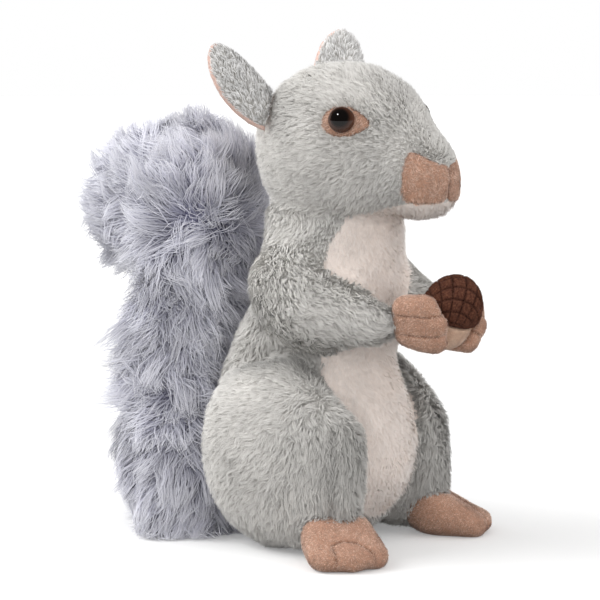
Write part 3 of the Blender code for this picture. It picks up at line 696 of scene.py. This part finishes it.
def body_depth(points):
    """How far the cloth lies under the tips of the pile: less at the nose and in the cream panels."""
    owners = body_nodes.nearest(points)
    depth = np.full(len(points), SHORT_PILE)
    from_nose = np.linalg.norm(points - NOSE * MM, axis=1)
    on_head = np.isin(owners, ["head"] + SEWN_ON["head"])
    depth[on_head] = NOSE_PILE + (SHORT_PILE - NOSE_PILE) * ramp(from_nose, 0.030, 0.090)[on_head]
    depth[np.isin(owners, CREAM)] = CREAM_PILE
    return depth


def meeting(first, second):
    """How far points are from where two groups of nodes meet."""
    one, other = Nodes(first), Nodes(second)
    return lambda points: np.maximum(one.distance(points), other.distance(points))


def thigh_top(points):
    """1 on the line where the top of a thigh meets the torso."""
    found = np.zeros(len(points))
    for side_name, _ in SIDES:
        line = near(meeting(TRUNK, [f"leg_{side_name}"])(points), FURROW_WIDTH)
        found += line * ramp(points[:, 2], 0.060, 0.080) * ramp(-points[:, 1], -0.035, -0.010)
    return found


def shin_crease(points):
    """1 on the tucked line down the front of each shin."""
    folded = np.column_stack((np.abs(points[:, 0]), points[:, 1:]))
    run = (CREASE_FOOT - CREASE_TOP) * MM
    share = np.clip((folded - CREASE_TOP * MM) @ run / (run @ run), 0.0, 1.0)
    return near(np.linalg.norm(folded - CREASE_TOP * MM - share[:, None] * run, axis=1), CREASE_WIDTH)


def furrows(points):
    """How far the skin is drawn in where stuffed pieces meet, and down the front of each shin."""
    neck = near(meeting(TRUNK, ["head", "chin_panel"])(points), FURROW_WIDTH)
    return neck * NECK_DEPTH + thigh_top(points) * FURROW_DEPTH + shin_crease(points) * CREASE_DEPTH


def blended(made, first, second, width, rounds):
    """Smooths an object's skin over the place where two groups of nodes meet."""
    weights = near(meeting(first, second)(points_of(made.data)), width)
    group = made.vertex_groups.new(name="joint")
    for index in np.flatnonzero(weights > 0.01):
        group.add([int(index)], float(weights[index]), "REPLACE")
    applied(made, "SMOOTH", factor=0.5, iterations=rounds, vertex_group="joint")
    made.vertex_groups.clear()
    return made


def drawn_in(made, depth):
    """Moves an object's skin inwards by a depth at each point."""
    points = points_of(made.data)
    place(made.data, points - normals_of(made.data) * depth(points)[:, None] * MM)
    return made


body_skin = relaxed("skin", body_names, 2.6, 8)
for side_name, _ in SIDES:
    blended(body_skin, TRUNK, [f"arm_{side_name}"], SHOULDER_BLEND, SHOULDER_ROUNDS)
body = Skin(drawn_in(body_skin, furrows), body_depth)
body_owners = body_nodes.nearest(body.middles)

# How the pile of each grey piece lies, and its length
GREY = {
    "head": (head_flow, 5.6),
    "torso": (torso_flow, 7.0),
    "arm_right": (arm_flow(-1), 6.6),
    "arm_left": (arm_flow(1), 6.6),
    "leg_right": (leg_flow(-1), 7.0),
    "leg_left": (leg_flow(1), 7.0),
}
# Locks over an undercoat: fibres per square millimetre, share of the length, and the fibres' own values
GREY_COATS = (
    (0.75, 1.0, dict(width=0.6, segments=2, lock_size=7, lock_pull=0.55, stray=0.35, softness=0.88)),
    (1.9, 0.75, dict(width=0.5, segments=1, lock_size=5, lock_pull=0.35, stray=0.6, softness=0.95)),
)


def painted_shade_tone(points):
    """Painted shade: darker along the top of each thigh, down each shin crease and on the front of the lower
    shins.
    """
    shin = ramp(-points[:, 1], 0.030, 0.048) * ramp(-points[:, 2], -0.100, -0.070)
    return (1.0 - 0.24 * shin) * (1.0 - 0.55 * thigh_top(points)) * (1.0 - 0.35 * shin_crease(points))


def grown_length(name, roots, length):
    """The pile is shorter towards the nose, and clipped round what is sewn onto it."""
    lengths = np.full(len(roots), length)
    if name == "head":
        lengths *= 0.55 + 0.45 * ramp(np.linalg.norm(roots - NOSE * MM, axis=1), 0.025, 0.080)
    if SEWN_ON[name]:
        lengths *= 0.35 + 0.65 * ramp(Nodes(SEWN_ON[name]).distance(roots), 0.002, 0.008)
    return lengths * (0.4 + 0.6 * ramp(cream_nodes.distance(roots), 0.002, 0.008))


def build_grey_pieces():
    for number, (name, (flow, length)) in enumerate(GREY.items()):
        rng = np.random.default_rng(20 + number)
        furred = np.flatnonzero(body_owners == name)
        cloth = np.flatnonzero(np.isin(body_owners, [name] + SEWN_ON[name]))
        piles = []
        for density, share, fibres in GREY_COATS:
            roots, tips, normals = scattered(body, furred, int(area_of(body, furred) * density), rng)
            # none grow deep inside the tail, which covers the toy's back
            clear = ~tail_node.holds(tips, 4.0)
            roots, tips, normals = roots[clear], tips[clear], normals[clear]
            lengths = grown_length(name, roots, length * share)
            # painted shade at the thigh tops, down the shin creases and on the shins
            tone = painted_shade_tone(roots) if name != "head" else None
            pile = Pile(roots, tips, normals, flow(roots), lengths, rng=rng, curl=0.06, tone=tone, **fibres)
            piles.append((0, pile))
        piece = piece_of(name + "_plush", [grey_plush], part_of(body, cloth), piles)
        declare(piece, "grey_short_plush", 0.85, name)


def build_cream_pieces():
    for number, name in enumerate(CREAM):
        rng = np.random.default_rng(30 + number)
        faces = np.flatnonzero(body_owners == name)
        roots, tips, normals = scattered(body, faces, int(area_of(body, faces) * 1.1), rng)
        pile = Pile(roots, tips, normals, torso_flow(roots), np.full(len(roots), 3.0), 0.5, 1, rng,
                    lock_size=4, lock_pull=0.2, stray=0.5, softness=0.95)
        piece = piece_of(name + "_plush", [cream_plush], part_of(body, faces), [(0, pile)])
        declare(piece, "cream_plush", 0.85, name)


# Ears and tail


def build_ears():
    """Each ear's suede lining laps a little over its edge, where the grey pile is shorter."""
    for number, (side_name, side) in enumerate(SIDES):
        rng = np.random.default_rng(40 + number)
        ear, lining = f"ear_{side_name}", f"ear_lining_{side_name}"
        skin = Skin(relaxed("skin", [ear, lining], 1.6, 4), even(EAR_PILE))
        ahead, behind = Nodes([ear]), Nodes([lining])
        lined = behind.distance(skin.middles) < ahead.distance(skin.middles) + LINING_LAP * MM
        grey, pink = np.flatnonzero(~lined), np.flatnonzero(lined)
        roots, tips, normals = scattered(skin, grey, int(area_of(skin, grey) * 1.6), rng)
        lengths = EAR_HAIR * (0.6 + 0.4 * ramp(behind.distance(roots), 0.0015, 0.005))
        pile = Pile(roots, tips, normals, ear_flow(side)(roots), lengths, 0.5, 2, rng, lock_size=8,
                    lock_pull=0.55, stray=0.45, curl=0.08, softness=0.85)
        piece = piece_of(ear + "_plush", [ear_plush], part_of(skin, grey), [(0, pile)])
        declare(piece, "grey_short_plush", 0.5, ear)
        sunk = LINING_SUNK + (EAR_PILE - LINING_SUNK) * near(ahead.distance(skin.tips), 2.0)
        skin.cloth = skin.tips - skin.normals * sunk[:, None] * MM
        piece = piece_of(lining + "_suede", [lining_suede], part_of(skin, pink))
        declare(piece, "peach_suede", 0.5, lining)


def build_tail():
    skin = Skin(relaxed("skin", ["tail"], 3.5, 6), even(LONG_PILE))
    rng = np.random.default_rng(50)
    every = np.arange(len(skin.corners))
    long = scattered(skin, every, TAIL_LOCKS, rng)
    short = scattered(skin, every, TAIL_UNDERCOAT, rng)
    curl = 0.07 + 0.38 * tail_middle(long[0])
    lengths = TAIL_LENGTH - TAIL_MIDDLE_CLIP * tail_middle(long[0])[:, 0]
    locks = Pile(*long, tail_flow(long[0]), lengths, 0.7, 3, rng, lock_size=30,
                 lock_pull=0.7, stray=0.2, curl=curl, wave=0.18, softness=0.88, blunt=0.62)
    under = Pile(*short, tail_flow(short[0]), np.full(len(short[0]), TAIL_LENGTH / 2), 1.1, 2, rng,
                 lock_size=10, lock_pull=0.6, stray=0.9, rise=0.55, curl=0.2, softness=0.8)
    # the tail's cloth takes the dark root colour: painted shade under the locks
    piece = piece_of("tail_plush", [lilac_plush], part_of(skin, every), [(0, locks), (0, under)])
    declare(piece, "lilac_long_plush", 0.7, "tail")


# Suede pieces


def finger_lines(side):
    """Two stitched lines that divide a hand into three fingers."""
    low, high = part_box("hand_right" if side < 0 else "hand_left")
    middle = (np.array(low) + np.array(high)) / 2
    cup = math.radians(HAND_CUP[side])
    across = np.array((side * math.sin(cup), 0.0, math.cos(cup)))

    def lines(points):
        from_middle = np.abs((points - middle) @ across)
        return near(from_middle - FINGER_PITCH * MM / 2, 0.6) * ramp(-points[:, 1], 0.068, 0.074)
    return lines


def toe_lines(side):
    """An arc across the instep and down beside the middle toe, and a short line on the toe's other side."""
    turn = math.radians(FOOT_SPLAY)
    ahead = np.array((side * math.sin(turn), -math.cos(turn)))
    ankle = np.array((side * ANKLE[0], ANKLE[1])) * MM

    def lines(points):
        flat = (points[:, :2] - ankle) / MM
        along = flat @ ahead
        across = (flat[:, 0] * ahead[1] - flat[:, 1] * ahead[0]) * side
        bow = ARC_AHEAD + ARC_BOW * (across - ARC_CENTRE) ** 2
        slope = np.hypot(1.0, 2 * ARC_BOW * (across - ARC_CENTRE))
        arc = near((along - bow) / slope * MM, 0.7)
        arc *= ramp(across, -12.5, -10.0) * ramp(-across, -16.0, -12.0)
        toe = near((across - TOE_LINE) * MM, 0.7) * ramp(along, 30.0, 32.0) * ramp(-along, -43.0, -38.0)
        return np.maximum(arc, toe) * ramp(points[:, 2], 0.003, 0.007)
    return lines


def napped(name, made, groove, materials, density, height, length, width, rng):
    """A piece of short-napped cloth: the object's mesh, and fibres that stand on it."""
    skin = Skin(made, even(-height))
    skin.cloth, skin.tips = skin.tips, skin.cloth
    every = np.arange(len(skin.corners))
    roots, tips, normals = scattered(skin, every, int(area_of(skin, every) * density), rng)
    lay = waves(roots, 12, 9) + np.array((0.0, 0.6, -0.4))
    nap = Pile(roots, tips, normals, lay, np.full(len(roots), length), width, 1, rng, lock_size=5,
               lock_pull=0.3, stray=0.6, softness=0.85)
    return piece_of(name, materials, (skin.cloth, skin.corners, skin.normals), [(1, nap)], groove)


def suede_pad(node, materials, slot, sink, voxel, rounds, seed, lines=None, depth=0.0):
    """A stuffed suede piece with its stitched lines pulled in by a depth and darkened with painted shade."""
    made = relaxed("pad", [node], voxel, rounds)
    points, normals = points_of(made.data), normals_of(made.data)
    groove = lines(points) if lines else np.zeros(len(points))
    place(made.data, points - normals * (sink + groove * depth)[:, None] * MM)
    rng = np.random.default_rng(seed)
    piece = napped(node + "_suede", made, groove, materials, 1.9, SUEDE_NAP, 1.3, 0.38, rng)
    return declare(piece, slot, 0.8, node)


def suede_patch(skin, faces, name, seed):
    """A patch sewn onto the head: its edge is evened out, turned in and given the suede's thickness."""
    used, corners = np.unique(skin.corners[faces], return_inverse=True)
    shape = bmesh.new()
    verts = [shape.verts.new(point) for point in skin.cloth[used]]
    for corner in corners.reshape(-1, 3):
        shape.faces.new([verts[i] for i in corner])
    for _ in range(CORNER_ROUNDING):
        edge_verts = [v for v in shape.verts if v.is_boundary]
        middles = []
        for v in edge_verts:
            beside = [edge.other_vert(v).co for edge in v.link_edges if edge.is_boundary]
            middles.append(sum(beside, Vector()) / 2)
        for v, middle in zip(edge_verts, middles):
            v.co = v.co.lerp(middle, 0.5)
    bmesh.ops.smooth_vert(shape, verts=[v for v in shape.verts if not v.is_boundary], factor=0.5,
                          use_axis_x=True, use_axis_y=True, use_axis_z=True)
    shape.normal_update()
    rim = KDTree(sum(v.is_boundary for v in shape.verts))
    for v in shape.verts:
        if v.is_boundary:
            rim.insert(v.co, v.index)
    rim.balance()
    gaps = [rim.find(v.co)[2] for v in shape.verts]
    for v, gap in zip(shape.verts, gaps):
        v.co += v.normal * SUEDE_ABOVE_CLOTH * MM * (1 - math.exp(-gap / (1.2 * MM)) * 0.75)
    mesh = bpy.data.meshes.new(name)
    shape.to_mesh(mesh)
    shape.free()
    made = applied(new_object(name, mesh), "SOLIDIFY", thickness=PATCH_THICKNESS * MM, offset=-1.0,
                   use_rim=True)
    points = points_of(made.data)
    # painted shade along the patch's edge, where it meets the plush
    groove = near(np.array([rim.find(point)[2] for point in points]), 0.8) * 0.6
    rng = np.random.default_rng(seed)
    piece = napped(name + "_suede", made, groove, [peach_suede, peach_nap], 2.2, 0.6, 2.6, 0.35, rng)
    return declare(piece, "peach_suede", 0.6, name)


def build_suede_pieces():
    head_names = ["head", "chin_panel"] + SEWN_ON["head"]
    skin = Skin(relaxed("skin", head_names, 1.3, 30), body_depth)
    owners = Nodes(head_names).nearest(skin.middles)
    for kind in ("muzzle_patch", "eye_patch"):
        for number, (side_name, _) in enumerate(SIDES):
            name = f"{kind}_{side_name}"
            suede_patch(skin, np.flatnonzero(owners == name), name, 70 + number)
    peach = [peach_suede, peach_nap]
    for number, (side_name, side) in enumerate(SIDES):
        suede_pad(f"hand_{side_name}", peach, "peach_suede", sink=-0.2, voxel=0.9, rounds=45,
                  seed=80 + number, lines=finger_lines(side), depth=0.8)
        suede_pad(f"foot_{side_name}", peach, "peach_suede", sink=-0.1, voxel=1.3, rounds=14,
                  seed=82 + number, lines=toe_lines(side), depth=1.4)
    suede_pad("acorn_nut", [nut_suede, nut_nap], "tan_nut_suede", sink=0.2, voxel=1.0, rounds=10, seed=84)


# Acorn cap and eyes


def quilt_lines(points):
    """A diamond grid of stitched channels, drawn on the cloth before it was pulled over the cap."""
    offset = points - CAP_MIDDLE * MM
    height, x, y = offset @ CAP_AXIS, offset[:, 0], offset @ CAP_FORWARD
    out = np.maximum(np.hypot(x, y), 1e-6)
    from_top = np.arctan2(out, height - DOME_RISE * MM) * DOME_RADIUS * MM
    p, q = x / out * from_top, y / out * from_top
    cell = QUILT_CELL * MM
    gaps = [np.abs((run / math.sqrt(2) / cell + 0.5) % 1 - 0.5) * cell for run in (p + q, p - q)]
    return near(np.minimum(*gaps), 0.6) * ramp(height, 0.0005, 0.003)


def build_cap():
    made = relaxed("cap", ["acorn_cap"], 0.8, 12)
    points, normals = points_of(made.data), normals_of(made.data)
    groove = quilt_lines(points)
    place(made.data, points - normals * (0.2 + groove * 1.0)[:, None] * MM)
    rng = np.random.default_rng(60)
    piece = napped("acorn_cap_velour", made, groove, [quilted_velour, cap_fuzz], 3.0, 0.5, 1.2, 0.25, rng)
    declare(piece, "brown_quilted_fabric", 0.9, "acorn_cap")


def marked(mesh, values):
    """Keeps one value for each vertex for the material."""
    kept = mesh.color_attributes.new("pile", "FLOAT_COLOR", "POINT")
    shades = np.ones((len(mesh.vertices), 4))
    shades[:, 0] = np.clip(values, 0.0, 1.0)
    kept.data.foreach_set("color", shades.astype(np.float32).ravel())


def build_eyes():
    """A polished dome with a turned rim, spun round the eye's own axis."""
    for side_name, side in SIDES:
        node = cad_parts[f"eye_{side_name}"]
        points = points_of(node.data)
        middle = points.mean(axis=0)
        _, _, turns = np.linalg.svd(points - middle)
        way = turns[0] if turns[0][0] * side > 0 else -turns[0]
        top = middle + way * ((points - middle) @ way).max()
        shape = bmesh.new()
        profile = []
        for step in range(13):
            angle = math.radians(90.0 * step / 12)
            profile.append((EYE_RADIUS * math.sin(angle), -EYE_RISE * (1 - math.cos(angle))))
        profile += EYE_RIM
        row = [shape.verts.new((r * MM, 0.0, z * MM)) for r, z in profile]
        edges = [shape.edges.new(pair) for pair in zip(row, row[1:])]
        bmesh.ops.spin(shape, geom=row + edges, cent=(0, 0, 0), axis=(0, 0, 1), angle=math.tau, steps=48,
                       use_merge=True)
        bmesh.ops.remove_doubles(shape, verts=shape.verts, dist=0.001 * MM)
        bmesh.ops.recalc_face_normals(shape, faces=shape.faces)
        out = np.array([math.hypot(v.co.x, v.co.y) / (EYE_RADIUS * MM) for v in shape.verts])
        aim = Vector(way).to_track_quat("Z", "Y").to_matrix().to_4x4()
        bmesh.ops.transform(shape, matrix=Matrix.Translation(Vector(top)) @ aim, verts=shape.verts)
        mesh = bpy.data.meshes.new(f"eye_{side_name}")
        shape.to_mesh(mesh)
        shape.free()
        marked(mesh, out)
        mesh.materials.append(eye_acrylic)
        mesh.shade_smooth()
        made = new_object(f"eye_{side_name}_dome", mesh)
        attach(made, "root")
        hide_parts(f"eye_{side_name}")
        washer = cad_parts[f"eye_washer_{side_name}"].data
        washer.materials.clear()
        washer.materials.append(washer_plastic)


build_grey_pieces()
build_cream_pieces()
build_ears()
build_tail()
build_suede_pieces()
build_cap()
build_eyes()


# Stage, light and camera


def build_stage():
    """A round paper floor that looks brighter to the camera than it lights the toy."""
    shape = bmesh.new()
    bmesh.ops.create_circle(shape, cap_ends=True, segments=96, radius=6.0)
    mesh = bpy.data.meshes.new("floor")
    shape.to_mesh(mesh)
    shape.free()
    floor = new_object("floor", mesh)
    made, tree, shader = new_material("white_studio_floor", Roughness=1.0)
    tree.nodes.remove(shader)
    path = add(tree, "LightPath")
    seen = path.outputs["Is Camera Ray"]
    for kind in ("Is Glossy Ray", "Is Transmission Ray"):
        seen = add(tree, "Math", {0: seen, 1: path.outputs[kind]}, operation="MAXIMUM").outputs[0]
    paper = add(tree, "BsdfDiffuse", {"Color": linear("e6e6e6")})
    dim_paper = add(tree, "BsdfDiffuse", {"Color": linear("a8a8a8")})
    glow = add(tree, "Emission", {"Color": linear("ffffff"), "Strength": 0.22})
    lit = add(tree, "AddShader", {0: paper.outputs[0], 1: glow.outputs[0]})
    both = add(tree, "MixShader", {0: seen, 1: dim_paper.outputs[0], 2: lit.outputs[0]})
    tree.links.new(both.outputs[0], tree.nodes["Material Output"].inputs["Surface"])
    mesh.materials.append(made)


def towards(azimuth, elevation):
    """The direction from the object to something at this azimuth and elevation in degrees."""
    turn, rise = math.radians(azimuth), math.radians(elevation)
    return Vector((math.sin(turn) * math.cos(rise), -math.cos(turn) * math.cos(rise), math.sin(rise)))


def build_lights():
    world = bpy.data.worlds.new("studio")
    bpy.context.scene.world = world
    world.use_nodes = True
    tree = world.node_tree
    sky = tree.nodes["Background"]
    # bright to the camera, and dim in a reflection, as in a room with a few softboxes
    path = add(tree, "LightPath")
    seen = add(tree, "MapRange", {
        "Value": path.outputs["Is Camera Ray"], "To Min": 0.58, "To Max": 1.0})
    mirrored_room = add(tree, "MapRange", {
        "Value": path.outputs["Is Glossy Ray"], "To Min": 1.0, "To Max": 0.25})
    strength = add(tree, "Math", {0: seen.outputs["Result"], 1: mirrored_room.outputs["Result"]},
                   operation="MULTIPLY")
    tree.links.new(strength.outputs[0], sky.inputs["Strength"])
    sky.inputs["Color"].default_value = (1.0, 1.0, 1.0, 1.0)
    for name, (azimuth, elevation, energy, spread, glints) in LAMPS.items():
        lamp = bpy.data.lights.new(name, "SUN")
        lamp.energy = energy
        lamp.angle = math.radians(spread)
        made = new_object(name, lamp)
        made.visible_glossy = glints
        made.visible_diffuse = not glints
        made.rotation_mode = "QUATERNION"
        made.rotation_quaternion = towards(azimuth, elevation).to_track_quat("Z", "Y")


def build_camera():
    lens = bpy.data.cameras.new("camera")
    lens.sensor_width = 36.0
    lens.lens = CAMERA_LENS
    lens.clip_start, lens.clip_end = 0.05, 20.0
    made = new_object("camera", lens)
    back = towards(CAMERA_AZIMUTH, CAMERA_ELEVATION)
    made.location = CAMERA_TARGET + back * CAMERA_DISTANCE
    made.rotation_euler = (-back).to_track_quat("-Z", "Y").to_euler()
    bpy.context.scene.camera = made


build_stage()
build_lights()
build_camera()
bpy.context.scene.view_settings.view_transform = "Standard"
